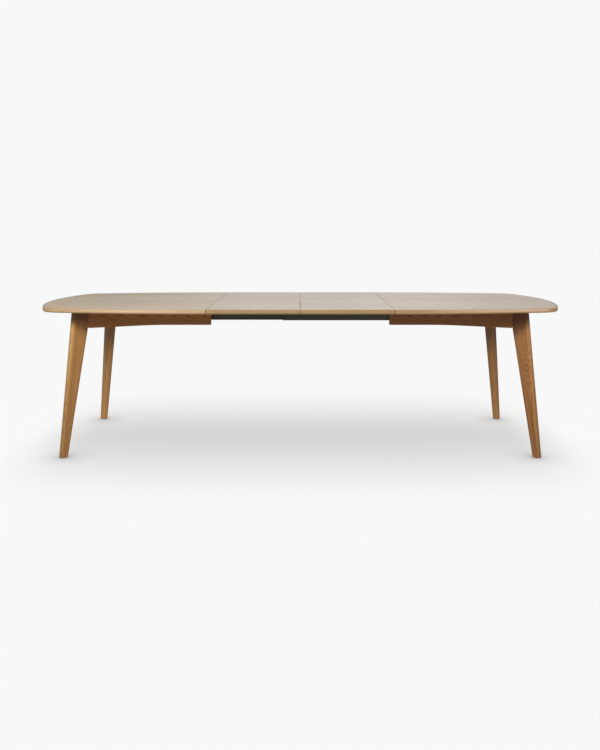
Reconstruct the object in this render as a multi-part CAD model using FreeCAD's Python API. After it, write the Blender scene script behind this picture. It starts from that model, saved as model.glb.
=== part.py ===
import FreeCAD, Part
import math
import os

V = FreeCAD.Vector

# ---------------------------------------------------------------------------
# Extending dining table, shown fully open with both loose leaves in place.
# Millimetres. Origin on the floor under the middle of the open table,
# +X along the length, +Y to the back, +Z up.
# ---------------------------------------------------------------------------

# table top
TOP_Z = 750.0          # height of the upper surface
TOP_T = 22.0           # thickness of the top
HALF_W = 500.0         # half of the width at the seams
LEAF_L = 450.0         # length of one loose leaf
GAP = 0.9              # joint between the leaves and the ends
END_REACH = 890.0      # from the leaf seam to the middle of the rounded end
R_SIDE = 3840.0        # long bow of the side
R_CORNER = 115.0       # corner rounding
R_END = 985.0          # bow of the end
LIP_W = 14.0           # width of the solid edge lipping
R_TOP_EDGE = 2.5       # easing of the upper edge
R_LOW_EDGE = 9.0       # rounding of the lower edge
SEAM_EASE = 0.8        # eased arris along the seams

# legs: planks standing on the diagonal, tapered and splayed along it
FOOT_X = 1178.8        # middle of the foot
FOOT_Y = 376.8
LEG_T = 33.0           # plank thickness
FOOT_HALF = 18.75      # half of the plank width at the floor
OUT_LEAN = 0.11325     # lean of the outer edge, per mm of height
IN_LEAN = 0.19215      # lean of the inner edge
LEG_R_OUT = 12.0       # rounding of the outer edge
LEG_R_IN = 8.0         # rounding of the inner edge
LEG_TOP = TOP_Z - TOP_T - 0.3
HEAD_D = -172.0        # inner face of the leg head, on the diagonal
HEAD_Z = 660.0         # underside of the leg head
GLIDE_H = 2.5          # floor glide
GLIDE_R = 12.5

# aprons
AP_Y = 290.0           # outer face of the long aprons
AP_T = 22.0
AP_LOW_SEAM = 651.5    # lower edge near the seam
AP_BEND_X = 730.0      # where the lower edge starts to drop
AP_SLOPE = 0.048
AP_BEND_R = 3000.0
AP_EASE = 2.0          # easing of the lower edges
END_AP_MID = 650.0     # lower edge of the end apron in the middle
END_AP_R = 2470.0      # its bow there
END_AP_BOW = 220.0     # half of the bowed length; straight from there to the legs

# slides
BEARER_T = 12.0        # cross bearers and leaf battens
RAIL_TOP = TOP_Z - TOP_T - BEARER_T - 0.4
RAIL_LOW = 672.0
RAIL_T = 18.0
RAIL_WALL = 3.5
OUT_RAIL_Y = 267.6     # outer face of the outer rails, on the right half
BALL_GAP = 6.0         # space for the ball cage
BALL_R = 4.5
GROOVE_R = 4.8
BALL_ROWS = (684.5, 703.0)
BALLS_PER_ROW = 6
OUT_RAIL_X = (-87.0, 985.0)    # right half, with caps
IN_RAIL_X = (-985.0, 110.0)    # left half, with caps
CAP_T = 3.0
STOP_TAB = 4.0         # how far the stop on an end cap stands into the gap

# fasteners
BOLT_R = 4.0
SCREW_R = 2.2

SEAM_X = LEAF_L + GAP / 2
UNDER = TOP_Z - TOP_T
IN_AP = AP_Y - AP_T
DIAG = FOOT_X - FOOT_Y          # X - Y of the leg's middle plane
LEG_FACE = LEG_T / math.sqrt(2) # shift of X - Y from the middle plane to a face
S2 = math.sqrt(0.5)

nodes = {}


def box(x0, x1, y0, y1, z0, z1):
    return Part.makeBox(x1 - x0, y1 - y0, z1 - z0, V(x0, y0, z0))


def prism(points, step):
    """A straight prism over a closed polygon of points."""
    return Part.Face(Part.makePolygon(points + points[:1])).extrude(step)


def rod(start, direction, r, length):
    return Part.makeCylinder(r, length, start, direction)


def flip_x(shape):
    return shape.mirror(V(0, 0, 0), V(1, 0, 0))


def flip_y(shape):
    return shape.mirror(V(0, 0, 0), V(0, 1, 0))


def less(shape, cutters):
    """A solid with other shapes taken out of it."""
    out = shape.cut(cutters)
    return out.Solids[0] if len(out.Solids) == 1 else out


def fillet(shape, r, keep):
    edges = [e for e in shape.Edges if keep(e)]
    return shape.makeFillet(r, edges) if edges else shape


def level(e, z):
    return all(abs(v.Z - z) < 1e-4 for v in e.Vertexes)


def eased_panel(shape, x):
    """The upper arris of a panel along the seam at x, taken off."""
    return shape.makeChamfer(SEAM_EASE, [
        e for e in shape.Edges if level(e, TOP_Z) and all(abs(v.X - x) < 1e-4 for v in e.Vertexes)])


def eased_lipping(shape, x):
    """The outside arrises of a lipping at the seam at x, taken off."""
    def wanted(e):
        if any(abs(v.X - x) > 1e-4 for v in e.Vertexes):
            return False
        return abs(e.CenterOfMass.y) > HALF_W - LIP_W + 0.01 and e.CenterOfMass.z > TOP_Z - TOP_T + 0.01
    return shape.makeChamfer(SEAM_EASE, [e for e in shape.Edges if wanted(e)])


# --- table top -------------------------------------------------------------

def bow(c, r, a, b):
    """Arc about c of radius r, in the directions a to b, the short way."""
    m = (a + b)
    m.normalize()
    return Part.Arc(c + a * r, c + m * r, c + b * r).toShape()


def end_outline(off):
    """Plan of one table end, from the seam round to the seam, moved in by off."""
    reach = END_REACH - GAP / 2
    c1 = V(0, HALF_W - R_SIDE, 0)
    c3 = V(reach - R_END, 0, 0)
    d = c3 - c1
    span = d.Length
    a, b = R_SIDE - R_CORNER, R_END - R_CORNER
    t = (a * a - b * b + span * span) / (2 * span)
    h = math.sqrt(a * a - t * t)
    e = d / span
    n = V(-e.y, e.x, 0)
    c2 = max((c1 + e * t + n * h, c1 + e * t - n * h), key=lambda q: q.y)
    up, to1, to3 = V(0, 1, 0), c2 - c1, c2 - c3
    to1.normalize()
    to3.normalize()
    low = lambda v: V(v.x, -v.y, 0)
    edges = [
        bow(c1, R_SIDE - off, up, to1),
        bow(c2, R_CORNER - off, to1, to3),
        bow(c3, R_END - off, to3, low(to3)),
        bow(low(c2), R_CORNER - off, low(to3), low(to1)),
        bow(low(c1), R_SIDE - off, low(to1), low(up)),
    ]
    return edges


def loop(edges, z):
    wire = Part.Wire(Part.__sortEdges__(edges))
    wire.translate(V(SEAM_X, 0, z))
    return Part.Face(wire)


def seam_line(y0, y1):
    return Part.makeLine(V(0, y0, 0), V(0, y1, 0))


inner_y = HALF_W - LIP_W
panel = loop(end_outline(LIP_W) + [seam_line(-inner_y, inner_y)], UNDER).extrude(V(0, 0, TOP_T))
lipping = loop(
    end_outline(0.0) + end_outline(LIP_W) + [seam_line(inner_y, HALF_W), seam_line(-HALF_W, -inner_y)],
    UNDER,
).extrude(V(0, 0, TOP_T))


def on_outside(e):
    return hasattr(e.Curve, "Radius") and any(
        abs(e.Curve.Radius - r) < 1e-3 for r in (R_SIDE, R_CORNER, R_END)
    )


lipping = fillet(lipping, R_TOP_EDGE, lambda e: level(e, TOP_Z) and on_outside(e))
lipping = fillet(lipping, R_LOW_EDGE, lambda e: level(e, UNDER) and on_outside(e))
lipping = eased_lipping(lipping, SEAM_X)
panel = eased_panel(panel, SEAM_X)


def leaf_lipping(x0, x1, side):
    y0, y1 = sorted((side * inner_y, side * HALF_W))
    s = box(x0, x1, y0, y1, UNDER, TOP_Z)
    out = lambda e: all(abs(v.Y - side * HALF_W) < 1e-4 for v in e.Vertexes)
    s = fillet(s, R_TOP_EDGE, lambda e: level(e, TOP_Z) and out(e))
    s = fillet(s, R_LOW_EDGE, lambda e: level(e, UNDER) and out(e))
    return eased_lipping(eased_lipping(s, x0), x1)


# --- leaves ----------------------------------------------------------------

def wood_screw(x, y, z, length, r=SCREW_R, head_r=4.0, head_h=2.5):
    """Countersunk screw driven up from z, head flush at z."""
    head = Part.makeCone(head_r, r, head_h, V(x, y, z))
    cross = [box(x - a, x + a, y - b, y + b, z - 1, z + 1.4) for a, b in ((2.6, 0.5), (0.5, 2.6))]
    return less(head.fuse(rod(V(x, y, z), V(0, 0, 1), r, length)).removeSplitter(), cross)


def screw_hole(x, y, z, length, r=SCREW_R, head_r=4.0, head_h=2.5):
    """The countersunk hole that a wood screw fills."""
    head = Part.makeCone(head_r, r, head_h, V(x, y, z))
    return head.fuse(rod(V(x, y, z), V(0, 0, 1), r, length)).removeSplitter()


SCREW_YS = (-150.0, 0.0, 150.0)
BATTEN_W = 50.0
BATTEN_HALF = 276.0
leaves = {"leaf_left": (-LEAF_L + GAP / 2, -GAP / 2), "leaf_right": (GAP / 2, LEAF_L - GAP / 2)}
for name, (x0, x1) in leaves.items():
    mid = (x0 + x1) / 2
    sign = 1 if mid > 0 else -1
    board = eased_panel(eased_panel(box(x0, x1, -inner_y, inner_y, UNDER, TOP_Z), x0), x1)
    screws = []
    holes = []
    blocks = []
    for which, shift in (("inner", -112.5), ("outer", 112.5)):
        bx = mid + sign * shift
        batten = box(bx - BATTEN_W / 2, bx + BATTEN_W / 2, -BATTEN_HALF, BATTEN_HALF, UNDER - BEARER_T, UNDER)
        # eased lower long edges
        batten = fillet(
            batten, 3.0,
            lambda e: level(e, UNDER - BEARER_T) and abs(e.Vertexes[0].Y - e.Vertexes[-1].Y) > 1,
        )
        screws += [wood_screw(bx, y, UNDER - BEARER_T, 24.0) for y in SCREW_YS]
        # guide blocks drop beside the rails and keep the leaf in line
        rail_face = OUT_RAIL_Y - RAIL_T if (sign > 0 and which == "outer") else OUT_RAIL_Y - 2 * RAIL_T - BALL_GAP
        for s in (-1, 1):
            y0, y1 = sorted((s * (rail_face - 0.5), s * (rail_face - 18.0)))
            g = box(bx - 20, bx + 20, y0, y1, UNDER - BEARER_T - 20.0, UNDER - BEARER_T)
            g = g.makeChamfer(4.0, [e for e in g.Edges if level(e, UNDER - BEARER_T - 20.0)])
            blocks.append(g)
        nodes[name + "_" + which + "_batten"] = less(batten, [screw_hole(bx, y, UNDER - BEARER_T, 24.0) for y in SCREW_YS])
        holes += [screw_hole(bx, y, UNDER - BEARER_T, 24.0) for y in SCREW_YS]
    nodes[name + "_panel"] = less(board, holes)
    nodes[name + "_front_lipping"] = leaf_lipping(x0, x1, -1)
    nodes[name + "_back_lipping"] = leaf_lipping(x0, x1, 1)
    nodes[name + "_batten_screws"] = screws
    nodes[name + "_guide_blocks"] = blocks

# --- legs ------------------------------------------------------------------

# right front leg: d runs outwards along the diagonal, t across the plank
E_D = V(S2, -S2, 0)
E_T = V(S2, S2, 0)
FOOT = V(FOOT_X, -FOOT_Y, 0)


def at(d, t, z):
    return FOOT + E_D * d + E_T * t + V(0, 0, z)


def outer_d(z):
    return FOOT_HALF - OUT_LEAN * z


def inner_d(z):
    return -FOOT_HALF - IN_LEAN * z


z0, z1 = GLIDE_H, LEG_TOP
plank = prism(
    [at(outer_d(z0), -LEG_T / 2, z0), at(outer_d(z1), -LEG_T / 2, z1),
     at(inner_d(z1), -LEG_T / 2, z1), at(inner_d(z0), -LEG_T / 2, z0)],
    E_T * LEG_T,
)


def long_edge(e, f):
    a, b = e.Vertexes[0].Point, e.Vertexes[-1].Point
    if abs(a.z - b.z) < 100:
        return False
    return all(abs((p - FOOT).dot(E_D) - f(p.z)) < 1e-3 for p in (a, b))


plank = fillet(plank, LEG_R_OUT, lambda e: long_edge(e, outer_d))
plank = fillet(plank, LEG_R_IN, lambda e: long_edge(e, inner_d))
plank = fillet(plank, 2.0, lambda e: level(e, z0))
head = prism(
    [at(HEAD_D, -LEG_T / 2, HEAD_Z), at(HEAD_D, -LEG_T / 2, LEG_TOP),
     at(outer_d(LEG_TOP) - 30, -LEG_T / 2, LEG_TOP), at(outer_d(LEG_TOP) - 30, -LEG_T / 2, HEAD_Z)],
    E_T * LEG_T,
)
leg = plank.fuse(head).removeSplitter()

BOLT_Z = (680.0, 708.0)
BLOCK_T = 30.0
block_d = HEAD_D - BLOCK_T
bolts, washers, nuts, leg_holes, block_holes = [], [], [], [], []
for z in BOLT_Z:
    end = at(block_d - 12.0, 0, z)
    bolt = rod(end, E_D, BOLT_R, 102.0)
    bolts.append(bolt.makeChamfer(0.8, [e for e in bolt.Edges if len(e.Vertexes) == 1]))
    leg_holes.append(rod(at(HEAD_D - 1.0, 0, z), E_D, BOLT_R + 0.1, 62.0))
    block_holes.append(rod(at(block_d - 1.0, 0, z), E_D, BOLT_R + 0.5, BLOCK_T + 2.0))
    w = rod(at(block_d - 1.6, 0, z), E_D, 10.0, 1.6).cut(rod(at(block_d - 3.0, 0, z), E_D, BOLT_R + 0.4, 6.0))
    washers.append(w)
    hexagon = [
        at(block_d - 8.1, 7.506 * math.cos(k * math.pi / 3), z + 7.506 * math.sin(k * math.pi / 3)) for k in range(6)
    ]
    nuts.append(prism(hexagon, E_D * 6.5).cut(rod(at(block_d - 9.0, 0, z), E_D, BOLT_R + 0.05, 9.0)))

# floor glide with a stem up the foot
glide = Part.makeCylinder(GLIDE_R, GLIDE_H, at(0, 0, 0))
glide = fillet(glide, 1.2, lambda e: level(e, 0.0) and len(e.Vertexes) == 1)
stem_top = 18.0
glide = glide.fuse(rod(at(0, 0, GLIDE_H - 1.0), V(0, 0, 1), 3.0, stem_top - GLIDE_H + 1.0)).removeSplitter()
stem_hole = rod(at(0, 0, GLIDE_H - 1.0), V(0, 0, 1), 3.1, stem_top - GLIDE_H + 2.0)
leg = less(leg, leg_holes + [stem_hole])

# corner block between the aprons, behind the leg head
total = FOOT_X + FOOT_Y
s1 = total + HEAD_D / S2
s2 = total + block_d / S2
in_end = IN_AP + DIAG
block = prism(
    [V(s1 - IN_AP, -IN_AP, 664), V(s2 - IN_AP, -IN_AP, 664), V(in_end, -(s2 - in_end), 664), V(in_end, -(s1 - in_end), 664)],
    V(0, 0, 58),
)
block = less(block, block_holes)

# --- aprons ----------------------------------------------------------------

x_out = DIAG - LEG_FACE + AP_Y
ang = math.atan(AP_SLOPE)
tan_len = AP_BEND_R * math.tan(ang / 2)
far = x_out + 20.0
pa = V(AP_BEND_X - tan_len, -AP_Y, AP_LOW_SEAM)
pb = V(AP_BEND_X + tan_len * math.cos(ang), -AP_Y, AP_LOW_SEAM - tan_len * math.sin(ang))
pm = V(pa.x + AP_BEND_R * math.sin(ang / 2), -AP_Y, AP_LOW_SEAM - AP_BEND_R * (1 - math.cos(ang / 2)))
pe = V(far, -AP_Y, AP_LOW_SEAM - (far - AP_BEND_X) * AP_SLOPE)
ps = V(SEAM_X, -AP_Y, AP_LOW_SEAM)
apron = Part.Face(Part.Wire([
    Part.makeLine(ps, pa), Part.Arc(pa, pm, pb).toShape(), Part.makeLine(pb, pe),
    Part.makeLine(pe, V(far, -AP_Y, UNDER)), Part.makeLine(V(far, -AP_Y, UNDER), V(SEAM_X, -AP_Y, UNDER)),
    Part.makeLine(V(SEAM_X, -AP_Y, UNDER), ps),
])).extrude(V(0, AP_T, 0))


def low_edge(e):
    """A lower edge along the board, on either face."""
    return e.Length > 40 and e.BoundBox.ZMax < AP_LOW_SEAM + 0.01


apron = fillet(apron, AP_EASE, low_edge)


def beyond_leg(y):
    """Point of the leg's face at |Y| = y, in plan."""
    return V(DIAG - LEG_FACE + y, -y, 600)


cut = prism([beyond_leg(150.0), beyond_leg(400.0), V(1300, -400, 600), V(1300, -150, 600)], V(0, 0, 200))
apron = less(apron, [cut])

out_end = AP_Y + DIAG
y_out = out_end - DIAG - LEG_FACE
ang = math.asin(END_AP_BOW / END_AP_R)
z_bow = END_AP_MID - END_AP_R * (1 - math.cos(ang))
y_far = y_out + 5.0
z_far = z_bow - (y_far - END_AP_BOW) * math.tan(ang)
end_apron = Part.Face(Part.Wire([
    Part.makeLine(V(in_end, -y_far, z_far), V(in_end, -END_AP_BOW, z_bow)),
    Part.Arc(V(in_end, -END_AP_BOW, z_bow), V(in_end, 0, END_AP_MID), V(in_end, END_AP_BOW, z_bow)).toShape(),
    Part.makeLine(V(in_end, END_AP_BOW, z_bow), V(in_end, y_far, z_far)),
    Part.makeLine(V(in_end, y_far, z_far), V(in_end, y_far, UNDER)),
    Part.makeLine(V(in_end, y_far, UNDER), V(in_end, -y_far, UNDER)),
    Part.makeLine(V(in_end, -y_far, UNDER), V(in_end, -y_far, z_far)),
])).extrude(V(out_end - in_end, 0, 0))
end_apron = fillet(end_apron, AP_EASE, low_edge)
cuts = []
for s in (-1, 1):
    pts = [V(x, s * (x - DIAG - LEG_FACE), 600) for x in (in_end - 60, out_end + 60)]
    cuts.append(prism(pts + [V(out_end + 60, s * 500, 600), V(in_end - 60, s * 500, 600)], V(0, 0, 200)))
end_apron = less(end_apron, cuts)

# --- cross bearers under the ends ------------------------------------------

BEARER_W = 60.0
SEAM_BEARER_X = 456.0
REAR_BEARER_X = 880.0
bearer_screws, bearer_holes = [], []
bearers = {}
for which, bx in (("seam_bearer", SEAM_BEARER_X), ("rear_bearer", REAR_BEARER_X)):
    b = box(bx, bx + BEARER_W, -IN_AP, IN_AP, UNDER - BEARER_T, UNDER)
    mine = [screw_hole(bx + BEARER_W / 2, y, UNDER - BEARER_T, 24.0) for y in SCREW_YS]
    bearer_screws += [wood_screw(bx + BEARER_W / 2, y, UNDER - BEARER_T, 24.0) for y in SCREW_YS]
    bearer_holes += mine
    bearers[which] = less(b, mine)
end_panel = less(panel, bearer_holes)

# --- slides ----------------------------------------------------------------

IN_RAIL_Y = OUT_RAIL_Y - RAIL_T - BALL_GAP     # outer face of the inner rails
BALL_Y = IN_RAIL_Y + BALL_GAP / 2


def rail(x0, x1, y0, y1):
    """Hollow rail between y0 and y1 (front side, both negative), grooved for balls."""
    r = box(x0, x1, y0, y1, RAIL_LOW, RAIL_TOP)
    r = fillet(r, 1.0, lambda e: abs(e.Vertexes[0].X - e.Vertexes[-1].X) > 1)
    hollow = box(x0 - 1, x1 + 1, y0 + RAIL_WALL, y1 - RAIL_WALL, RAIL_LOW + RAIL_WALL, RAIL_TOP - RAIL_WALL)
    grooves = [rod(V(x0 - 1, -BALL_Y, z), V(1, 0, 0), GROOVE_R, x1 - x0 + 2) for z in BALL_ROWS]
    return less(r, [hollow] + grooves)


def cap(x, grow, y0, y1, tab_y=None):
    """End cap: a plate over the rail end, a plug inside it and, on the tips that
    meet, a tab that stops the ball cage. grow is +1 if the rail lies towards +X."""
    x0, x1 = sorted((x, x + grow * CAP_T))
    p0, p1 = sorted((x + grow * CAP_T, x + grow * (CAP_T + 10.0)))
    ya, yb = (y0, y1) if tab_y is None else (min(y0, tab_y), max(y1, tab_y))
    plate = box(x0, x1, ya, yb, RAIL_LOW, RAIL_TOP)
    plug = box(p0, p1, y0 + RAIL_WALL + 0.2, y1 - RAIL_WALL - 0.2, RAIL_LOW + RAIL_WALL + 0.2, RAIL_TOP - RAIL_WALL - 0.2)
    return plate.fuse(plug).removeSplitter()


# outer rails of the right half lie along its aprons
oy0, oy1 = -OUT_RAIL_Y, -OUT_RAIL_Y + RAIL_T
out_rail = rail(OUT_RAIL_X[0] + CAP_T, OUT_RAIL_X[1] - CAP_T, oy0, oy1)
rail_z = (BALL_ROWS[0] + BALL_ROWS[1]) / 2
out_screws, access = [], []
for x in (500.0, 700.0, 900.0):
    shank = rod(V(x, oy0 + RAIL_WALL, rail_z), V(0, -1, 0), SCREW_R, RAIL_WALL + 16.0)
    knob = rod(V(x, oy0 + RAIL_WALL, rail_z), V(0, 1, 0), 4.2, 2.6)
    out_screws.append(shank.fuse(knob).removeSplitter())
    access.append(rod(V(x, oy1 + 1, rail_z), V(0, -1, 0), 4.4, RAIL_WALL + 2.0))
out_rail = less(out_rail, out_screws + access)
right_apron = less(apron, out_screws)
out_caps = [
    cap(OUT_RAIL_X[0], 1, oy0, oy1, oy1 + STOP_TAB),
    cap(OUT_RAIL_X[1], -1, oy0, oy1),
]

# inner rails of the left half hang on angle brackets from its cross bearers
iy0, iy1 = -IN_RAIL_Y, -IN_RAIL_Y + RAIL_T
in_rail = rail(IN_RAIL_X[0] + CAP_T, IN_RAIL_X[1] - CAP_T, iy0, iy1)
brackets, in_screws, bearer_cuts, rail_cuts = [], [], [], []
BR_T = 3.0
for bx in (SEAM_BEARER_X, REAR_BEARER_X):
    xc = -(bx + BEARER_W / 2)
    up = box(xc - 20, xc + 20, iy1, iy1 + BR_T, RAIL_LOW + 8, UNDER - BEARER_T)
    flat = box(xc - 20, xc + 20, iy1, iy1 + 30, UNDER - BEARER_T - BR_T, UNDER - BEARER_T)
    br = up.fuse(flat).removeSplitter()
    mine = []
    for dx in (-12.0, 12.0):
        zc = UNDER - BEARER_T - BR_T
        a = rod(V(xc + dx, iy1 + 19, zc), V(0, 0, 1), SCREW_R, BR_T + 9.0).fuse(
            rod(V(xc + dx, iy1 + 19, zc - 2.2), V(0, 0, 1), 4.0, 2.2)).removeSplitter()
        b = rod(V(xc + dx, iy1 + BR_T, rail_z), V(0, -1, 0), SCREW_R, BR_T + RAIL_WALL + 4.0).fuse(
            rod(V(xc + dx, iy1 + BR_T, rail_z), V(0, 1, 0), 4.0, 2.2)).removeSplitter()
        bearer_cuts.append(a)
        rail_cuts.append(b)
        za, yb = zc - 2.2, iy1 + BR_T + 2.2
        a = less(a, [box(xc + dx - p, xc + dx + p, iy1 + 19 - q, iy1 + 19 + q, za - 1, za + 1.2)
                     for p, q in ((2.4, 0.5), (0.5, 2.4))])
        b = less(b, [box(xc + dx - p, xc + dx + p, yb - 1.2, yb + 1, rail_z - q, rail_z + q)
                     for p, q in ((2.4, 0.5), (0.5, 2.4))])
        mine += [a, b]
    brackets.append(less(br, bearer_cuts[-2:] + rail_cuts[-2:]))
    in_screws += mine
in_rail = less(in_rail, rail_cuts)
in_caps = [
    cap(IN_RAIL_X[0], 1, iy0, iy1),
    cap(IN_RAIL_X[1], -1, iy0, iy1, iy0 - STOP_TAB),
]

# ball cage between the rails, held between the stop tabs when fully open
cage_x0 = OUT_RAIL_X[0] + CAP_T + 0.5
cage_x1 = IN_RAIL_X[1] - CAP_T - 0.5
cage = box(cage_x0, cage_x1, -BALL_Y - 1.25, -BALL_Y + 1.25, RAIL_LOW + 5, RAIL_TOP - 5)
pitch = (cage_x1 - cage_x0) / BALLS_PER_ROW
spots = [V(cage_x0 + pitch * (k + 0.5), -BALL_Y, z) for k in range(BALLS_PER_ROW) for z in BALL_ROWS]
balls = [Part.makeSphere(BALL_R, p) for p in spots]
cage = less(cage, [rod(p + V(0, -5, 0), V(0, 1, 0), BALL_R + 0.1, 10) for p in spots])

# --- both halves -----------------------------------------------------------

pairs = {"front": lambda s: s, "back": flip_y}
for hand, turn in (("right", lambda s: s), ("left", flip_x)):
    left = hand == "left"
    nodes[hand + "_top_panel"] = turn(end_panel)
    nodes[hand + "_top_lipping"] = turn(lipping)
    nodes[hand + "_end_apron"] = turn(end_apron)
    group = {"hanger_bolts": [], "bolt_washers": [], "bolt_nuts": [], "floor_glides": []}
    for fb, face in pairs.items():
        put = lambda s: face(turn(s))
        nodes[fb + "_" + hand + "_leg"] = put(leg)
        nodes[fb + "_" + hand + "_apron"] = put(apron if left else right_apron)
        nodes[fb + "_" + hand + "_corner_block"] = put(block)
        group["hanger_bolts"] += [put(s) for s in bolts]
        group["bolt_washers"] += [put(s) for s in washers]
        group["bolt_nuts"] += [put(s) for s in nuts]
        group["floor_glides"].append(put(glide))
    for key, solids in group.items():
        nodes[hand + "_" + key] = solids
    for which, b in bearers.items():
        b = turn(b)
        nodes[hand + "_" + which] = less(b, bearer_cuts + [flip_y(c) for c in bearer_cuts]) if left else b
    nodes[hand + "_bearer_screws"] = [turn(s) for s in bearer_screws]

for fb, face in pairs.items():
    nodes[fb + "_outer_rail"] = face(out_rail)
    nodes[fb + "_inner_rail"] = face(in_rail)
    nodes[fb + "_ball_cage"] = face(cage)
    nodes[fb + "_slide_balls"] = [face(b) for b in balls]
nodes["right_rail_screws"] = out_screws + [flip_y(s) for s in out_screws]
nodes["right_rail_caps"] = out_caps + [flip_y(s) for s in out_caps]
nodes["left_rail_caps"] = in_caps + [flip_y(s) for s in in_caps]
nodes["left_rail_brackets"] = brackets + [flip_y(s) for s in brackets]
nodes["left_rail_screws"] = in_screws + [flip_y(s) for s in in_screws]

# --- one file per node -----------------------------------------------------

os.makedirs("parts", exist_ok=True)
for name in sorted(nodes):
    item = nodes[name]
    solids = []
    for s in item if isinstance(item, list) else [item]:
        solids += s.Solids
    bad = [s for s in solids if not s.isValid() or s.Volume <= 0]
    shape = solids[0] if len(solids) == 1 else Part.makeCompound(solids)
    shape.exportStep("parts/" + name + ".step")
    print("%-28s %3d solids %10.1f cm3%s" % (name, len(solids), sum(s.Volume for s in solids) / 1000, "  INVALID" if bad else ""))
print(len(nodes), "nodes")
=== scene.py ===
import math

import bpy
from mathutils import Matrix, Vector

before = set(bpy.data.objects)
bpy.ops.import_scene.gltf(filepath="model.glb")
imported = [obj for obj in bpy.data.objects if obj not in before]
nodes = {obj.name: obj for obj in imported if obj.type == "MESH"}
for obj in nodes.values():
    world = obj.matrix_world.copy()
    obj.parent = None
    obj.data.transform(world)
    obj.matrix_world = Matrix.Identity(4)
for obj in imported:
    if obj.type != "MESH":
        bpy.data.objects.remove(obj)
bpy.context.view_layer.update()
scene = bpy.context.scene

# --------------------------------------------------------------------------
# plan of the table, metres: the lipping follows these arcs
# --------------------------------------------------------------------------

SEAM_X = 0.45045
REACH = 0.88955
HALF_W = 0.5
R_SIDE, R_CORNER, R_END = 3.84, 0.115, 0.985
TOP_Z = 0.75
FOOT_X, FOOT_Y = 1.1788, 0.3768
LEG_LEAN = -(0.11325 + 0.19215) / 2


# --------------------------------------------------------------------------
# small tools for node trees
# --------------------------------------------------------------------------

class Tree:
    """A node tree that is written as expressions."""

    def __init__(self, owner):
        owner.use_nodes = True
        self.t = owner.node_tree
        self.t.nodes.clear()

    def new(self, kind, **props):
        node = self.t.nodes.new(kind)
        for key, value in props.items():
            setattr(node, key, value)
        return node

    def put(self, socket, value):
        if isinstance(value, bpy.types.NodeSocket):
            self.t.links.new(value, socket)
        elif value is not None:
            socket.default_value = value

    def math(self, op, a, b=None, c=None, clamp=False):
        node = self.new("ShaderNodeMath", operation=op, use_clamp=clamp)
        for socket, value in zip(node.inputs, (a, b, c)):
            self.put(socket, value)
        return node.outputs[0]

    def add(self, a, b):
        return self.math("ADD", a, b)

    def sub(self, a, b):
        return self.math("SUBTRACT", a, b)

    def mul(self, a, b):
        return self.math("MULTIPLY", a, b)

    def mad(self, a, b, c):
        return self.math("MULTIPLY_ADD", a, b, c)

    def vec(self, x, y, z):
        node = self.new("ShaderNodeCombineXYZ")
        for socket, value in zip(node.inputs, (x, y, z)):
            self.put(socket, value)
        return node.outputs[0]

    def split(self, v):
        node = self.new("ShaderNodeSeparateXYZ")
        self.put(node.inputs[0], v)
        return node.outputs[0], node.outputs[1], node.outputs[2]

    def dot(self, a, b):
        node = self.new("ShaderNodeVectorMath", operation="DOT_PRODUCT")
        self.put(node.inputs[0], a)
        self.put(node.inputs[1], b)
        return node.outputs["Value"]

    def vsub(self, a, b):
        node = self.new("ShaderNodeVectorMath", operation="SUBTRACT")
        self.put(node.inputs[0], a)
        self.put(node.inputs[1], b)
        return node.outputs[0]

    def noise(self, v, detail=2.0, rough=0.5, scale=1.0, distortion=0.0):
        node = self.new("ShaderNodeTexNoise", noise_dimensions="3D")
        self.put(node.inputs["Vector"], v)
        self.put(node.inputs["Scale"], scale)
        self.put(node.inputs["Detail"], detail)
        self.put(node.inputs["Roughness"], rough)
        self.put(node.inputs["Distortion"], distortion)
        return node.outputs[0]

    def white(self, w):
        node = self.new("ShaderNodeTexWhiteNoise", noise_dimensions="1D")
        self.put(node.inputs["W"], w)
        return node

    def smooth(self, x, low, high, to_low=0.0, to_high=1.0):
        node = self.new("ShaderNodeMapRange", interpolation_type="SMOOTHSTEP")
        for socket, value in zip(node.inputs, (x, low, high, to_low, to_high)):
            self.put(socket, value)
        return node.outputs[0]

    def ramp(self, x, stops, interpolation="LINEAR"):
        node = self.new("ShaderNodeValToRGB")
        node.color_ramp.interpolation = interpolation
        items = node.color_ramp.elements
        while len(items) < len(stops):
            items.new(0.5)
        for item, (at, colour) in zip(items, stops):
            item.position = at
            item.color = (*colour, 1.0) if len(colour) == 3 else colour
        self.put(node.inputs[0], x)
        return node.outputs[0]

    def curve(self, x, stops):
        return self.ramp(x, [(p, (y, y, y)) for p, y in stops])

    def mix(self, f, a, b, blend="MIX"):
        node = self.new("ShaderNodeMix", data_type="RGBA", blend_type=blend)
        self.put(node.inputs[0], f)
        for k, value in ((6, a), (7, b)):
            self.put(node.inputs[k], (*value, 1.0) if isinstance(value, tuple) and len(value) == 3 else value)
        return node.outputs[2]

    def place(self):
        return self.new("ShaderNodeTexCoord").outputs["Object"]

    def edge(self, radius, gain):
        """1 on the arrises of a piece, 0 on its faces."""
        bevel = self.new("ShaderNodeBevel", samples=6)
        bevel.inputs["Radius"].default_value = radius
        flat = self.new("ShaderNodeNewGeometry").outputs["Normal"]
        return self.math("MULTIPLY", self.sub(1.0, self.dot(bevel.outputs[0], flat)), gain, clamp=True)

    def bump(self, height, strength, distance):
        node = self.new("ShaderNodeBump")
        node.inputs["Strength"].default_value = strength
        node.inputs["Distance"].default_value = distance
        self.put(node.inputs["Height"], height)
        return node.outputs[0]

    def surface(self, colour, roughness, normal=None, **constants):
        shader = self.new("ShaderNodeBsdfPrincipled")
        self.put(shader.inputs["Base Color"], colour)
        self.put(shader.inputs["Roughness"], roughness)
        if normal is not None:
            self.put(shader.inputs["Normal"], normal)
        for key, value in constants.items():
            shader.inputs[key.replace("_", " ")].default_value = value
        out = self.new("ShaderNodeOutputMaterial")
        self.t.links.new(shader.outputs[0], out.inputs[0])
        return shader


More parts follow.
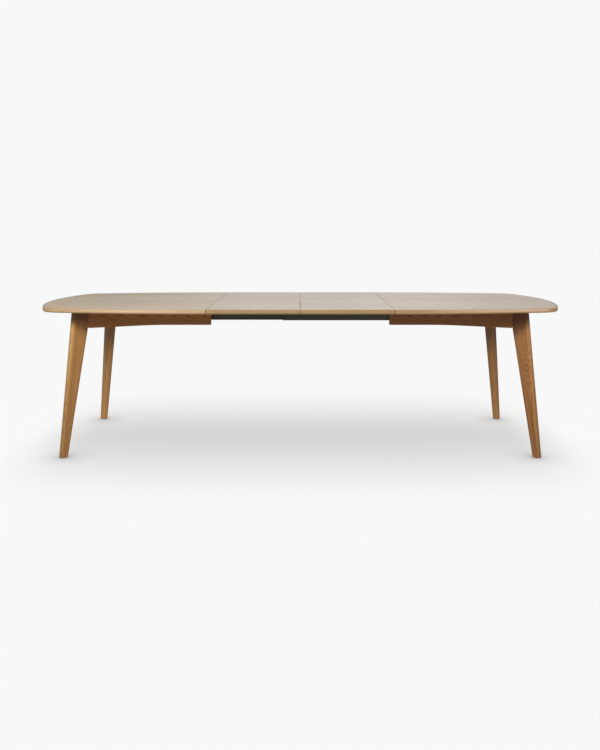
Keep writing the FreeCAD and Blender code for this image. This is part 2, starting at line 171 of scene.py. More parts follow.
def material(name):
    m = bpy.data.materials.new(name)
    return m, Tree(m)


# --------------------------------------------------------------------------
# oak
# --------------------------------------------------------------------------

def straight(t, origin, along, across, through):
    """Coordinates of a straight board: along the grain, across its face, through its thickness."""
    p = t.vsub(t.place(), tuple(origin))
    return tuple(t.dot(p, tuple(a)) for a in (along, across, through))


def arcs():
    """Centres and limits of the arcs of one rounded end, seen from the seam."""
    c1 = Vector((0, HALF_W - R_SIDE))
    c3 = Vector((REACH - R_END, 0))
    d = c3 - c1
    a, b = R_SIDE - R_CORNER, R_END - R_CORNER
    along = (a * a - b * b + d.length_squared) / (2 * d.length)
    h = math.sqrt(a * a - along * along)
    e = d.normalized()
    n = Vector((-e.y, e.x))
    c2 = max((c1 + e * along + n * h, c1 + e * along - n * h), key=lambda q: q.y)
    to1, to3 = c2 - c1, c2 - c3
    return c1, c2, c3, math.atan2(to1.x, to1.y), math.atan2(to3.x, to3.y)


def around(t):
    """Coordinates of the lipping: along its bend, in from its outer face, and up."""
    c1, c2, c3, a1, a3 = arcs()
    x, y, z = t.split(t.place())
    px = t.sub(t.math("ABSOLUTE", x), SEAM_X)
    py = t.math("ABSOLUTE", y)
    run, turns, depth = None, [], []
    for c, r, low, high in ((c1, R_SIDE, 0.0, a1), (c2, R_CORNER, a1, a3), (c3, R_END, a3, math.pi / 2)):
        qx, qy = t.sub(px, c.x), t.sub(py, c.y)
        angle = t.math("ARCTAN2", qx, qy)
        inside = t.math("MINIMUM", t.math("MAXIMUM", angle, low), high)
        part = t.mul(t.sub(inside, low), r)
        run = part if run is None else t.add(run, part)
        turns.append(angle)
        depth.append(t.sub(r, t.math("SQRT", t.add(t.mul(qx, qx), t.mul(qy, qy)))))
    on_side = t.math("LESS_THAN", turns[1], a1)
    on_end = t.math("GREATER_THAN", turns[1], a3)
    on_corner = t.sub(t.sub(1.0, on_side), on_end)
    inward = t.add(t.add(t.mul(depth[0], on_side), t.mul(depth[2], on_end)), t.mul(depth[1], on_corner))
    run = t.add(run, t.add(t.mul(t.math("SIGN", y), 3.17), t.mul(t.math("SIGN", x), 7.31)))
    return run, inward, t.sub(z, TOP_Z)


def oak(name, place, light, dark, seed=0.0, ring=0.0032, centre=(0.0, -0.05), tilt=(0.0, 0.0), bend=None, strip=None,
        warp=0.016, tone=0.06, rings=0.34, fibre=0.30, streak=0.2, blotch=0.26, pores=0.5, rough=0.44, wear=0.35,
        relief=0.35, painted_fade=0.0, sap_and_light=None, joints=(), sharp=1.0, upper=None, gloss=0.12, start=None, shade=None):
    """Lacquered oak: growth rings about a heart line, open pores in the early wood, fibre, streaks and slow tone.
    The heart line leaves the grain direction by tilt, over the whole length or only between the ends of bend. A fade
    darkens the wood towards its lower end, painted shade for the light falling off down a front leg; a negative fade
    darkens its upper end instead, the painted shadow of the table top on a back leg. A sap tint pales a strip along its
    outer edge: sapwood, and also a painted sheen on the rounded outer edge of the front legs and painted light on the
    outer part of the back left leg.
    The faces that look up may have colours of their own: duller, darker copies, painted shade that holds down the light
    falling on the upper arris. Start paints shade on the upper arris towards the middle of the table, and shade paints
    the shadow of the table top, darkening the wood from one height to another.
    At the joints, given by their distance from the middle of the table and a depth, the cut ends of the wood are
    darker."""
    m, t = material(name)
    u, v, w = place(t)
    shift = 0.0
    if strip:
        width, start = strip
        cell = t.math("FLOOR", t.math("DIVIDE", t.add(v, start), width))
        picks = t.split(t.white(t.add(cell, seed + 0.37)).outputs["Color"])
        vl = t.sub(t.add(v, start), t.mul(t.add(cell, 0.5), width))
        u = t.mad(picks[0], 5.7, u)
        cv = t.mul(t.sub(picks[1], 0.5), width * 1.3)
        cw = t.mad(picks[2], -0.05, centre[1])
        shift = t.mul(t.sub(picks[0], 0.5), tone)
        dv = t.sub(vl, cv)
        dw = t.sub(w, cw)
    else:
        dv = t.sub(v, centre[0])
        dw = t.sub(w, centre[1])
    us = t.add(u, seed * 3.7)

    def stretched(along, across):
        return t.vec(t.mul(us, along), t.mul(v, across), t.mul(w, across))

    slow = t.sub(t.noise(stretched(1.3, 7.0), 2.0), 0.5)
    quick = t.sub(t.noise(stretched(7.0, 45.0), 2.0), 0.5)
    run = t.smooth(u, bend[0], bend[1], 0.0, bend[1] - bend[0]) if bend else u
    dv = t.mad(run, tilt[0], dv)
    dw = t.mad(run, tilt[1], dw)
    radius = t.math("SQRT", t.add(t.mul(dv, dv), t.mul(dw, dw)))
    radius = t.mad(slow, warp, t.mad(quick, 0.0022, radius))
    phase = t.math("DIVIDE", radius, ring)
    part = t.math("FRACT", phase)
    year = t.white(t.add(t.math("FLOOR", phase), seed + 11.3)).outputs["Value"]
    early = t.curve(part, [(0.0, 0.75), (0.10, 1.0), (0.30, 0.42), (0.58, 0.10), (0.90, 0.02), (1.0, 0.75)])
    if sharp != 1.0:
        early = t.math("POWER", early, sharp)
    early = t.mul(early, t.mad(year, 0.7, 0.55))

    threads = t.noise(stretched(11.0, 430.0), 3.0, 0.6)
    vessels = t.noise(stretched(34.0, 1500.0), 1.0, 0.5)
    vessels = t.mul(t.smooth(vessels, 0.53, 0.67), t.mad(early, 0.8, 0.2))
    flecks = t.smooth(t.noise(t.vec(t.mul(us, 55.0), t.mul(v, 240.0), t.mul(w, 60.0)), 1.0), 0.62, 0.74)
    streaks = t.sub(t.noise(stretched(1.7, 80.0), 2.0, 0.55), 0.5)
    slow_tone = t.sub(t.noise(stretched(0.9, 4.0), 2.0), 0.5)

    k = t.mad(early, rings, 0.30)
    k = t.mad(t.sub(threads, 0.5), fibre * 2.0, k)
    k = t.mad(streaks, streak * 2.0, k)
    k = t.mad(slow_tone, blotch * 2.0, k)
    k = t.add(k, shift)
    if joints:
        x = t.math("ABSOLUTE", t.split(t.place())[0])
        cuts = [t.smooth(t.math("ABSOLUTE", t.sub(x, j)), 0.0010, 0.0032, depth, 0.0) for j, depth in joints]
        cut = cuts[0] if len(cuts) == 1 else t.math("MAXIMUM", *cuts)
    # painted shade: darker towards the foot of a front leg, or towards the top of a back leg when negative
    if painted_fade:
        k = t.mad(u, -painted_fade / 0.35, t.add(k, painted_fade))
    k = t.mad(flecks, -0.07, k)
    k = t.math("MULTIPLY", k, 1.0, clamp=True)
    colour = t.mix(k, light, dark)
    # paler strip along the outer edge: sapwood, with a painted sheen on the front legs and painted light on the back
    # left leg
    if sap_and_light:
        edge, slope, width, tint = sap_and_light
        at_edge = t.smooth(t.mad(u, -slope, v), edge - width, edge)
        colour = t.mix(at_edge, colour, t.mix(k, tinted(light, tint), tinted(dark, tint)))
    # painted shade: the faces that look up take duller, darker colours
    if upper:
        _, _, facing = t.split(t.new("ShaderNodeNewGeometry").outputs["Normal"])
        # painted shade on the upper arris, deepest towards the middle of the table
        if start:
            near, far, depth = start
            off = t.smooth(t.math("ABSOLUTE", t.split(t.place())[0]), near, far, depth, 0.0)
            colour = t.mix(t.mul(off, t.smooth(facing, -0.25, 0.30, 0.25, 1.0)), colour, scaled(dark, 0.94))
        colour = t.mix(t.smooth(facing, 0.72, 0.97), colour, t.mix(k, *upper))
    # painted shadow of the table top over the upper end of a leg
    if shade:
        low, high, depth = shade
        colour = t.mix(t.smooth(u, low, high, 0.0, depth), colour, tinted(dark, (0.52, 0.42, 0.36)))
    deep = tuple(c * 0.45 for c in dark)
    colour = t.mix(t.mul(vessels, pores), colour, deep)
    rim = t.edge(0.0032, 7.0)
    worn = t.mul(rim, t.smooth(t.noise(stretched(9.0, 60.0), 2.0), 0.35, 0.7))
    pale = tuple(min(1.0, c * 1.16 + 0.02) for c in light)
    colour = t.mix(t.mul(worn, wear), colour, pale)
    if joints:
        colour = t.mix(cut, colour, deep)

    sheen = t.mad(t.sub(threads, 0.5), 0.16, rough)
    sheen = t.mad(vessels, 0.16, sheen)
    sheen = t.mad(slow_tone, 0.10, sheen)
    sheen = t.mad(worn, -0.07, sheen)
    if joints:
        sheen = t.mad(cut, 0.40, sheen)
    height = t.mad(vessels, -1.0, t.mad(early, -0.22, t.mul(threads, 0.25)))
    shader = t.surface(colour, sheen, t.bump(height, relief, 0.00018))
    if upper:
        t.put(shader.inputs["Specular IOR Level"], t.smooth(facing, 0.25, 0.80, 0.5, gloss))
    return m


TOP_LIGHT, TOP_DARK = (0.599, 0.473, 0.346), (0.386, 0.275, 0.175)
EDGE_LIGHT, EDGE_DARK = (0.640, 0.415, 0.195), (0.430, 0.245, 0.094)
LEG_LIGHT, LEG_DARK = (0.560, 0.288, 0.098), (0.330, 0.146, 0.043)
APRON_LIGHT, APRON_DARK = (0.530, 0.235, 0.074), (0.330, 0.128, 0.034)
X, Y, Z = Vector((1, 0, 0)), Vector((0, 1, 0)), Vector((0, 0, 1))


def scaled(colour, f):
    return tuple(c * f for c in colour)


def tinted(colour, tint):
    return tuple(a * b for a, b in zip(colour, tint))


def board(origin, along, across, through):
    return lambda t: straight(t, origin, along, across, through)


def dress(node, m):
    slots = nodes[node].data.materials
    slots.clear()
    slots.append(m)


# table top: veneer laid along the length, each panel from its own leaves
TOPS = (("left_top_panel", -0.9, (1.02, 0.966, 0.84)), ("leaf_left_panel", -0.23, (1.02, 1.02, 1.01)),
        ("leaf_right_panel", 0.23, (1.01, 1.01, 1.0)), ("right_top_panel", 0.9, (1.04, 1.01, 1.02)))
for k, (node, x, f) in enumerate(TOPS):
    dress(node, oak("oak_top_" + str(k), board((x, 0, TOP_Z), X, Y, Z), tinted(TOP_LIGHT, f), tinted(TOP_DARK, f), seed=3.1 + 5.3 * k,
                    ring=0.0030, centre=(0, -0.035), tilt=(0.0, 0.035), strip=(0.152, 0.041 * k + 0.02),
                    tone=0.32, blotch=0.22, rings=0.60, fibre=0.46, streak=0.36, rough=0.31, wear=0.1,
                    joints=((SEAM_X, 0.28),) if "top" in node else ((0.0, 0.52), (SEAM_X, 0.28))))

# lipping: solid strips that follow the edge
# the left end's lipping is paler and less saturated than the rest: partly its wood, partly a painted sheen
EDGES = {"left": ((0.660, 0.458, 0.250), (0.442, 0.271, 0.121)), "right": (tinted(EDGE_LIGHT, (1.04, 1.02, 1.08)), tinted(EDGE_DARK, (1.04, 1.02, 1.08))),
         "leaf_left": (scaled(EDGE_LIGHT, 0.78), scaled(EDGE_DARK, 0.78)), "leaf_right": (scaled(EDGE_LIGHT, 0.88), scaled(EDGE_DARK, 0.88))}
# painted shade on the upper arris of the right lipping near the middle of the table
START = {"right": (0.52, 0.76, 0.95)}
# the upward faces of the lippings are darker: painted shade on the upper arris
for hand in ("left", "right"):
    dress(hand + "_top_lipping", oak(
        "oak_lipping_" + hand, around, *EDGES[hand], seed=1.9, ring=0.0042, centre=(0.02, 0.05), tilt=(0.004, 0.006),
        warp=0.010, rings=0.36, fibre=0.44, streak=0.26, blotch=0.46, rough=0.36, wear=0.12, joints=((SEAM_X, 0.72),),
        upper=(scaled(TOP_LIGHT, 0.84), scaled(TOP_DARK, 0.84)), start=START.get(hand)))
# the upward faces of the leaf lippings are darker: painted shade on the upper arris
for k, (leaf, side) in enumerate((a, b) for a in ("leaf_left", "leaf_right") for b in ("front", "back")):
    s = -1 if side == "front" else 1
    dress(leaf + "_" + side + "_lipping", oak(
        "oak_leaf_lipping_" + str(k), board((0, s * HALF_W, TOP_Z), X, -s * Y, Z), *EDGES[leaf],
        seed=21.7 + 3.9 * k, ring=0.0042, centre=(0.03, 0.045), tilt=(0.006, 0.004), warp=0.010, rings=0.34, fibre=0.40,
        streak=0.26, blotch=0.44, rough=0.36, wear=0.08, joints=((0.0, 0.75), (SEAM_X, 0.72)),
        upper=tuple(scaled(c, 0.84) for c in EDGES[leaf]), gloss=0.04))

# legs: one plank each, the grain along the leg
# per leg: fade and shade paint the light falling off down the leg and the shadow of the table top at its upper end, a
# light shadow where a leg gives none of its own; sap pales the outer edge, sapwood with painted sheen and painted light
LEGS = {
    ("front", "left"): dict(f=(0.89, 0.88, 0.87), centre=(-0.16, -0.06), tilt=(0.02, 0.01), bend=None, ring=0.0044, rings=0.75, sharp=1.0,
                            seed=2.3, painted_fade=0.26, sap_and_light=(0.97, 1.10, 1.24), shade=(0.659, 0.699, 0.72)),
    ("front", "right"): dict(f=(0.82, 0.775, 0.82), centre=(0.012, -0.0385), tilt=(0.0, -0.13), bend=(0.30, 0.74), ring=0.0046,
                             rings=1.0, sharp=0.55, seed=7.9, painted_fade=0.18, sap_and_light=(1.0, 1.08, 1.10), shade=(0.615, 0.699, 0.74)),
    ("back", "left"): dict(f=(0.96, 1.01, 1.07), centre=(-0.019, 0.0385), tilt=(0.0, 0.13), bend=(0.22, 0.62), ring=0.0044,
                           rings=0.95, sharp=0.7, seed=13.1, painted_fade=-0.08, sap_and_light=(1.10, 1.14, 1.18), edge=(0.004, 0.0, 0.020)),
    ("back", "right"): dict(f=(0.73, 0.71, 0.70), centre=(-0.12, 0.05), tilt=(0.015, 0.02), bend=None, ring=0.0044, rings=0.70, sharp=1.0,
                            seed=17.7, painted_fade=-0.06, sap_and_light=(1.0, 1.0, 1.0)),
}
for (fb, hand), leg in LEGS.items():
    sx = -1 if hand == "left" else 1
    sy = -1 if fb == "front" else 1
    out = Vector((sx, sy, 0)).normalized()
    side = Vector((-sx, sy, 0)).normalized()
    along = (out * LEG_LEAN + Z).normalized()
    across = side.cross(along).normalized()
    if across.dot(out) < 0:
        across = -across
    dress(fb + "_" + hand + "_leg", oak(
        "oak_leg_" + fb + "_" + hand, board((sx * FOOT_X, sy * FOOT_Y, 0), along, across, side),
        tinted(LEG_LIGHT, leg["f"]), tinted(LEG_DARK, leg["f"]), seed=leg["seed"], ring=leg["ring"], centre=leg["centre"],
        tilt=leg["tilt"], bend=leg["bend"], warp=0.010, rings=leg["rings"], sharp=leg["sharp"], fibre=0.55, streak=0.62, blotch=0.20, rough=0.42,
        wear=0.35, painted_fade=leg["painted_fade"], sap_and_light=(*leg.get("edge", (0.0165, 0.039, 0.014)), leg["sap_and_light"]),
        shade=leg.get("shade", (0.672, 0.704, 0.25))))

# aprons: the grain along each board
for k, (fb, hand) in enumerate((a, b) for a in ("front", "back") for b in ("left", "right")):
    sy = -1 if fb == "front" else 1
    sx = -1 if hand == "left" else 1
    f = 1.08 if hand == "left" else 0.82
    dress(fb + "_" + hand + "_apron", oak(
        "oak_apron_" + fb + "_" + hand, board((sx * 0.45, sy * 0.29, 0.69), X, Z, Y), scaled(APRON_LIGHT, f), scaled(APRON_DARK, f),
        seed=31.3 + 4.7 * k, ring=0.0040, centre=(0.006, sy * -0.05), tilt=(0.01, 0.05), warp=0.014, rings=0.80, fibre=0.50,
        streak=0.60, blotch=0.26, rough=0.46, wear=0.3))
for k, hand in enumerate(("left", "right")):
    sx = -1 if hand == "left" else 1
    dress(hand + "_end_apron", oak(
        "oak_apron_end_" + hand, board((sx * 1.09, 0, 0.69), Y, Z, X), APRON_LIGHT, APRON_DARK, seed=53.9 + 6.1 * k,
        ring=0.0040, centre=(-0.01, sx * -0.045), tilt=(0.012, 0.045), warp=0.014, rings=0.80, fibre=0.50, streak=0.60,
        blotch=0.26, rough=0.46, wear=0.3))


# --------------------------------------------------------------------------
# beech of the parts below the top
# --------------------------------------------------------------------------

def beech(name, place, seed):
    m, t = material(name)
    u, v, w = place(t)
    us = t.add(u, seed)
    threads = t.noise(t.vec(t.mul(us, 9.0), t.mul(v, 260.0), t.mul(w, 260.0)), 3.0, 0.6)
    rays = t.noise(t.vec(t.mul(us, 420.0), t.mul(v, 1500.0), t.mul(w, 900.0)), 1.0, 0.5)
    rays = t.smooth(rays, 0.60, 0.70)
    slow = t.noise(t.vec(t.mul(us, 1.6), t.mul(v, 14.0), t.mul(w, 14.0)), 2.0)
    k = t.mad(t.sub(threads, 0.5), 0.8, t.mad(t.sub(slow, 0.5), 0.9, 0.45))
    colour = t.mix(t.math("MULTIPLY", k, 1.0, clamp=True), (0.66, 0.48, 0.31), (0.47, 0.30, 0.17))
    colour = t.mix(t.mul(rays, 0.5), colour, (0.33, 0.18, 0.09))
    rim = t.edge(0.002, 6.0)
    colour = t.mix(t.mul(rim, 0.3), colour, (0.72, 0.56, 0.39))
    rough = t.mad(t.sub(threads, 0.5), 0.2, 0.60)
    height = t.mad(rays, -0.5, threads)
    t.surface(colour, rough, t.bump(height, 0.4, 0.00015))
    return m


across_beech = beech("beech_across", board((0, 0, 0.72), Y, X, Z), 1.3)
for node in nodes:
    if node.endswith(("_bearer", "_batten")):
        dress(node, across_beech)
    elif node.endswith("_guide_blocks"):
        dress(node, beech("beech_" + node, board((0, 0, 0.70), X, Y, Z), 4.1 + len(node)))
    elif node.endswith("_corner_block"):
        sx = -1 if "left" in node else 1
        sy = -1 if "front" in node else 1
        out, side = Vector((sx, sy, 0)).normalized(), Vector((-sx, sy, 0)).normalized()
        dress(node, beech("beech_" + node, board((sx, sy * 0.25, 0.69), side, out, Z), 7.7 + sx + 3 * sy))


# --------------------------------------------------------------------------
# slides, plastics and fasteners
# --------------------------------------------------------------------------

def rail_black(name, pale_arris=0.0):
    """Black anodised extrusion, paler along the lower arris of its sides."""
    m, t = material(name)
    x, y, z = t.split(t.place())
    lines = t.noise(t.vec(t.mul(x, 1.2), t.mul(y, 2600.0), t.mul(z, 2600.0)), 2.0, 0.6)
    cloud = t.noise(t.vec(t.mul(x, 9.0), t.mul(y, 30.0), t.mul(z, 30.0)), 3.0)
    rub = t.mul(t.edge(0.0012, 6.0), t.smooth(t.noise(t.vec(t.mul(x, 40.0), t.mul(y, 80.0), t.mul(z, 80.0)), 2.0), 0.4, 0.7))
    k = t.mad(t.sub(lines, 0.5), 0.7, t.mad(t.sub(cloud, 0.5), 0.8, 0.5))
    colour = t.mix(t.math("MULTIPLY", k, 1.0, clamp=True), (0.056, 0.056, 0.046), (0.104, 0.102, 0.082))
    colour = t.mix(t.mul(rub, 0.5), colour, (0.16, 0.155, 0.15))
    # paler along the lower arris of the sides
    if pale_arris:
        _, _, facing = t.split(t.new("ShaderNodeNewGeometry").outputs["Normal"])
        low = t.mul(t.smooth(z, 0.6730, 0.6742, pale_arris, 0.0), t.smooth(facing, -0.7, -0.3))
        colour = t.mix(low, colour, (0.48, 0.48, 0.40))
    rough = t.mad(t.sub(lines, 0.5), 0.18, t.mad(t.sub(cloud, 0.5), 0.12, 0.40))
    t.surface(colour, rough, t.bump(lines, 0.25, 0.00008), Metallic=0.25)
    return m


def moulded(name, low, high, rough):
    m, t = material(name)
    p = t.place()
    grain = t.noise(p, 2.0, 0.6, scale=1900.0)
    cloud = t.noise(p, 2.0, 0.5, scale=60.0)
    colour = t.mix(t.math("MULTIPLY", t.mad(t.sub(grain, 0.5), 0.6, cloud), 1.0, clamp=True), low, high)
    colour = t.mix(t.mul(t.edge(0.0008, 6.0), 0.35), colour, scaled(high, 1.8))
    t.surface(colour, t.mad(t.sub(grain, 0.5), 0.22, rough), t.bump(grain, 0.35, 0.00006))
    return m


def plated():
    m, t = material("zinc_plate")
    p = t.place()
    mottle = t.noise(p, 3.0, 0.6, scale=260.0)
    drift = t.noise(p, 1.0, 0.5, scale=90.0)
    fine = t.noise(p, 2.0, 0.7, scale=2400.0)
    colour = t.mix(t.smooth(drift, 0.35, 0.65), (0.70, 0.70, 0.685), (0.66, 0.645, 0.585))
    colour = t.mix(t.mul(t.smooth(mottle, 0.45, 0.75), 0.5), colour, (0.50, 0.50, 0.49))
    colour = t.mix(t.mul(t.edge(0.0006, 6.0), 0.4), colour, (0.82, 0.82, 0.81))
    rough = t.mad(t.sub(mottle, 0.5), 0.30, t.mad(t.sub(fine, 0.5), 0.15, 0.34))
    t.surface(colour, rough, t.bump(fine, 0.2, 0.00004), Metallic=1.0)
    return m


def polished():
    m, t = material("polished_steel")
    p = t.place()
    smear = t.noise(p, 3.0, 0.6, scale=700.0)
    colour = t.mix(smear, (0.78, 0.78, 0.79), (0.70, 0.70, 0.70))
    t.surface(colour, t.mad(smear, 0.16, 0.06), t.bump(smear, 0.05, 0.00002), Metallic=1.0)
    return m


inner_rail, outer_rail = rail_black("black_anodised_inner"), rail_black("black_anodised_outer", 0.9)
black_plastic = moulded("black_moulding", (0.014, 0.014, 0.014), (0.026, 0.026, 0.026), 0.52)
glide_plastic = moulded("glide_moulding", (0.030, 0.028, 0.026), (0.050, 0.047, 0.044), 0.55)
zinc = plated()
steel = polished()
for node in nodes:
    if node.endswith("_rail"):
        dress(node, outer_rail if "outer" in node else inner_rail)
    elif node.endswith(("_rail_caps", "_ball_cage")):
        dress(node, black_plastic)
    elif node.endswith("_floor_glides"):
        dress(node, glide_plastic)
    elif node.endswith("_balls"):
        dress(node, steel)
    elif node.endswith(("_bolts", "_washers", "_nuts", "_screws", "_brackets")):
        dress(node, zinc)


# --------------------------------------------------------------------------
# camera
# --------------------------------------------------------------------------

cam = bpy.data.objects.new("camera", bpy.data.cameras.new("camera"))
scene.collection.objects.link(cam)
cam.location = (0.0, -3.959, 1.1254)
cam.rotation_euler = (math.radians(90 - 3.5), 0, 0)
cam.data.lens = 35.15
cam.data.sensor_width = 36.0
cam.data.shift_x = -0.0003
cam.data.shift_y = -0.1326
cam.data.dof.use_dof = False
scene.camera = cam


# --------------------------------------------------------------------------
# floor, backdrop and light
# --------------------------------------------------------------------------

def disc(name, r, z, steps=96):
    mesh = bpy.data.meshes.new(name)
    pts = [(r * math.cos(2 * math.pi * k / steps), r * math.sin(2 * math.pi * k / steps), z) for k in range(steps)]
    mesh.from_pydata(pts, [], [list(range(steps))])
    o = bpy.data.objects.new(name, mesh)
    scene.collection.objects.link(o)
    return o


PALE = 0.939           # floor and backdrop
FLOOR_GLOW = 0.596
FLOOR_SUN = 0.635
OVERHEAD = 0.29
LEFT, RIGHT, NEAR_LEFT, NEAR_RIGHT = 76.0, 36.0, 8.0, 12.0
GLINT_LEFT, GLINT_RIGHT = 28.5, 38.0
REAR, LOW_FRONT = 9.0, 135.0
BACK_MID, BACK_SIDE = 64.0, 72.0
floor = disc("floor", 60.0, 0.0)
m, t = material("pale_floor")
# the floor's glow dims by ambient occlusion near the legs: painted contact shadow
near = t.new("ShaderNodeAmbientOcclusion", samples=16)
near.inputs["Distance"].default_value = 0.15
glow = t.new("ShaderNodeEmission")
t.put(glow.inputs["Color"], t.ramp(near.outputs["AO"], [(0.0, (0.05, 0.05, 0.05)), (0.6, (0.36, 0.36, 0.36)), (0.88, (0.84, 0.84, 0.84)), (1.0, (1, 1, 1))]))
glow.inputs["Strength"].default_value = FLOOR_GLOW
matt = t.new("ShaderNodeBsdfDiffuse")
matt.inputs["Color"].default_value = (0.34, 0.34, 0.34, 1)
both = t.new("ShaderNodeAddShader")
t.put(both.inputs[0], glow.outputs[0])
t.put(both.inputs[1], matt.outputs[0])
clear = t.new("ShaderNodeBsdfTransparent")
side = t.new("ShaderNodeMixShader")
t.put(side.inputs[0], t.new("ShaderNodeNewGeometry").outputs["Backfacing"])
t.put(side.inputs[1], both.outputs[0])
t.put(side.inputs[2], clear.outputs[0])
out = t.new("ShaderNodeOutputMaterial")
t.put(out.inputs[0], side.outputs[0])
m.cycles.emission_sampling = "NONE"
floor.data.materials.append(m)
floor.visible_diffuse = False
floor.visible_glossy = False
floor.visible_shadow = False

def dome(name, z_sign, r=70.0, rows=14, cols=48):
    """Half of the paper backdrop that closes the studio all round."""
    mesh = bpy.data.meshes.new(name)
    pts = [(r * math.cos(math.pi / 2 * i / rows) * math.cos(2 * math.pi * j / cols),
            r * math.cos(math.pi / 2 * i / rows) * math.sin(2 * math.pi * j / cols),
            z_sign * r * math.sin(math.pi / 2 * i / rows)) for i in range(rows) for j in range(cols)]
    faces = [(i * cols + j, i * cols + (j + 1) % cols, (i + 1) * cols + (j + 1) % cols, (i + 1) * cols + j)
             for i in range(rows - 1) for j in range(cols)]
    faces.append(tuple((rows - 1) * cols + j for j in range(cols)))
    mesh.from_pydata(pts, [], faces)
    o = bpy.data.objects.new(name, mesh)
    scene.collection.objects.link(o)
    o.visible_diffuse = False
    o.visible_shadow = False
    return o


m, t = material("backdrop_paper")
glow = t.new("ShaderNodeEmission")
glow.inputs["Color"].default_value = (1, 1, 1, 1)
glow.inputs["Strength"].default_value = PALE
out = t.new("ShaderNodeOutputMaterial")
t.put(out.inputs[0], glow.outputs[0])
m.cycles.emission_sampling = "NONE"
for o in (dome("backdrop", 1), dome("backdrop_low", -1)):
    o.data.materials.append(m)
    o.visible_glossy = False

# what the lacquer mirrors: pale paper, in more shade at the left
mirrored = dome("reflector", 1, r=68.0)
mirrored.visible_camera = False
m, t = material("reflector_paper")
glow = t.new("ShaderNodeEmission")
x, _, _ = t.split(t.place())
t.put(glow.inputs["Color"], t.curve(t.mad(x, 0.5 / 68.0, 0.5), [
    (0.0, 0.76), (0.30, 0.60), (0.362, 0.64), (0.4125, 0.94), (0.474, 1.27), (0.526, 1.24), (0.585, 1.43), (0.6225, 1.16),
    (0.70, 0.90), (1.0, 0.90)]))
glow.inputs["Strength"].default_value = 0.89 * PALE
out = t.new("ShaderNodeOutputMaterial")
t.put(out.inputs[0], glow.outputs[0])
m.cycles.emission_sampling = "NONE"
mirrored.data.materials.append(m)

# soft fill from all round, most of it from the pale floor
world = bpy.data.worlds.new("studio")
scene.world = world
t = Tree(world)
_, _, up = t.split(t.new("ShaderNodeTexCoord").outputs["Generated"])
fill = t.ramp(t.mad(up, 0.5, 0.5), [(0.0, (0.52, 0.50, 0.48)), (0.35, (0.34, 0.335, 0.33)), (0.5, (0.02, 0.02, 0.02)),
                                    (0.65, (0.12, 0.12, 0.12)), (1.0, (0.03, 0.03, 0.03))])
back = t.new("ShaderNodeBackground")
t.put(back.inputs[0], fill)
out = t.new("ShaderNodeOutputWorld")
t.put(out.inputs[0], back.outputs[0])

# the softboxes leave the floor alone, and a row of lamps overhead shades only the floor
def linked(name, state, *objects):
    group = bpy.data.collections.new(name)
    for k, o in enumerate(objects):
        group.objects.link(o)
        group.collection_objects[k].light_linking.link_state = state
    return group


not_floor = linked("not_floor", "EXCLUDE", floor)
floor_only = linked("floor_only", "INCLUDE", floor)
no_legs = linked("no_legs", "EXCLUDE", *(nodes[n] for n in nodes if n.endswith(("_leg", "_floor_glides"))))
lippings = linked("lippings", "INCLUDE", nodes["left_top_lipping"], nodes["leaf_left_front_lipping"], nodes["right_top_lipping"])
below_top = linked("below_top", "INCLUDE", *(nodes[n] for n in nodes if n.endswith(("_leg", "_apron", "_corner_block"))))
back_legs = linked("back_legs", "INCLUDE", nodes["back_left_leg"], nodes["back_right_leg"])
not_top = [nodes[n] for n in nodes if not n.endswith("_panel")]
behind = {"mid": linked("behind_mid", "INCLUDE", *not_top)}
for hand in ("left", "right"):
    behind[hand] = linked("behind_" + hand, "INCLUDE", *(o for o in not_top if hand in o.name and "lipping" not in o.name))


def aimed(name, data, to, at=None, group=None):
    o = bpy.data.objects.new(name, data)
    o.rotation_mode = "QUATERNION"
    o.rotation_quaternion = to.to_track_quat("Z", "Y")
    if at is not None:
        o.location = at
    scene.collection.objects.link(o)
    o.visible_camera = False
    o.visible_glossy = False
    if group is not None:
        o.light_linking.receiver_collection = group
    return o


def sun(name, azimuth, elevation, strength, spread, group=None):
    """A broad soft lamp far away. Azimuth 0 stands in front, 90 at the right."""
    data = bpy.data.lights.new(name, "SUN")
    data.energy = strength
    data.angle = math.radians(spread)
    a, e = math.radians(azimuth), math.radians(elevation)
    return aimed(name, data, Vector((math.sin(a) * math.cos(e), -math.cos(a) * math.cos(e), math.sin(e))), group=group)


def softbox(name, at, target, power, width, height, group=not_floor):
    data = bpy.data.lights.new(name, "AREA")
    data.shape = "RECTANGLE"
    data.size, data.size_y = width, height
    data.energy = power
    at, target = Vector(at), Vector(target)
    return aimed(name, data, (at - target).normalized(), at, group)


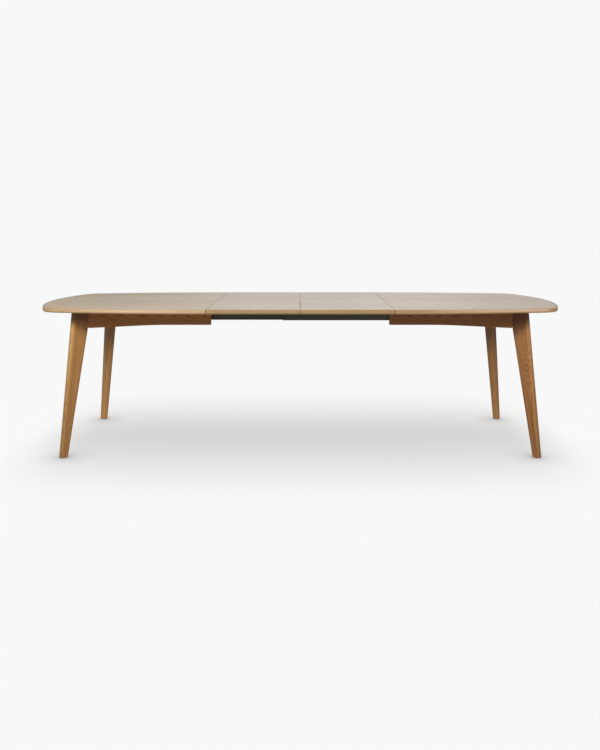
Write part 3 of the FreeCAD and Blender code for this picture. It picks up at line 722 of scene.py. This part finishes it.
for k, lean in enumerate((-34, -17, 0, 13, 27)):
    o = sun("floor_shade_" + str(k), 0 if lean < 0 else 180, 90 - abs(lean), FLOOR_SUN, 26, floor_only)
    o.light_linking.blocker_collection = no_legs
sun("overhead", 0, 90, OVERHEAD, 60, not_floor)
softbox("left_box", (-1.711, -2.537, 2.436), (-0.8, -0.1, 0.5), LEFT, 1.0, 0.5)
softbox("right_box", (1.711, -2.537, 2.436), (0.8, -0.1, 0.5), RIGHT, 1.0, 0.5)
softbox("near_left_box", (-1.748, -1.418, 1.375), (-1.0, -0.2, 0.5), NEAR_LEFT, 0.6, 0.35, below_top)
softbox("near_right_box", (1.748, -1.418, 1.375), (1.0, -0.2, 0.5), NEAR_RIGHT, 0.6, 0.35, below_top)
softbox("low_front_box", (0.0, -4.27, 1.95), (0, -0.1, 0.5), LOW_FRONT, 2.4, 0.7, back_legs)
softbox("rear_left_box", (-2.6, 2.9, 2.2), (-0.6, 0.3, 0.5), REAR, 1.2, 0.9)
softbox("rear_right_box", (2.6, 2.9, 2.2), (0.6, 0.3, 0.5), REAR, 1.2, 0.9)
softbox("back_box", (0.0, 4.1, 1.9), (0, 0.2, 0.5), BACK_MID, 2.0, 0.7, behind["mid"])
softbox("back_left_box", (-3.0, 3.3, 1.8), (-1.0, 0.2, 0.5), BACK_SIDE, 1.2, 0.7, behind["left"])
softbox("back_right_box", (3.0, 3.3, 1.8), (1.0, 0.2, 0.5), BACK_SIDE, 1.2, 0.7, behind["right"])

# two low cards that only show as a glint in the edge of the ends
for o in (softbox("glint_left", (-1.815, -2.815, 0.64), (-0.85, -0.48, 0.74), GLINT_LEFT, 1.1, 1.0, lippings),
          softbox("glint_right", (2.75, -2.50, 0.64), (1.05, -0.45, 0.74), GLINT_RIGHT, 1.9, 1.0, lippings)):
    o.visible_glossy = True
    o.visible_diffuse = False

scene.view_settings.view_transform = "Standard"
scene.view_settings.look = "None"
scene.view_settings.exposure = 0.0
scene.view_settings.gamma = 1.0
scene.cycles.use_denoising = True
scene.cycles.caustics_reflective = False
scene.cycles.caustics_refractive = False
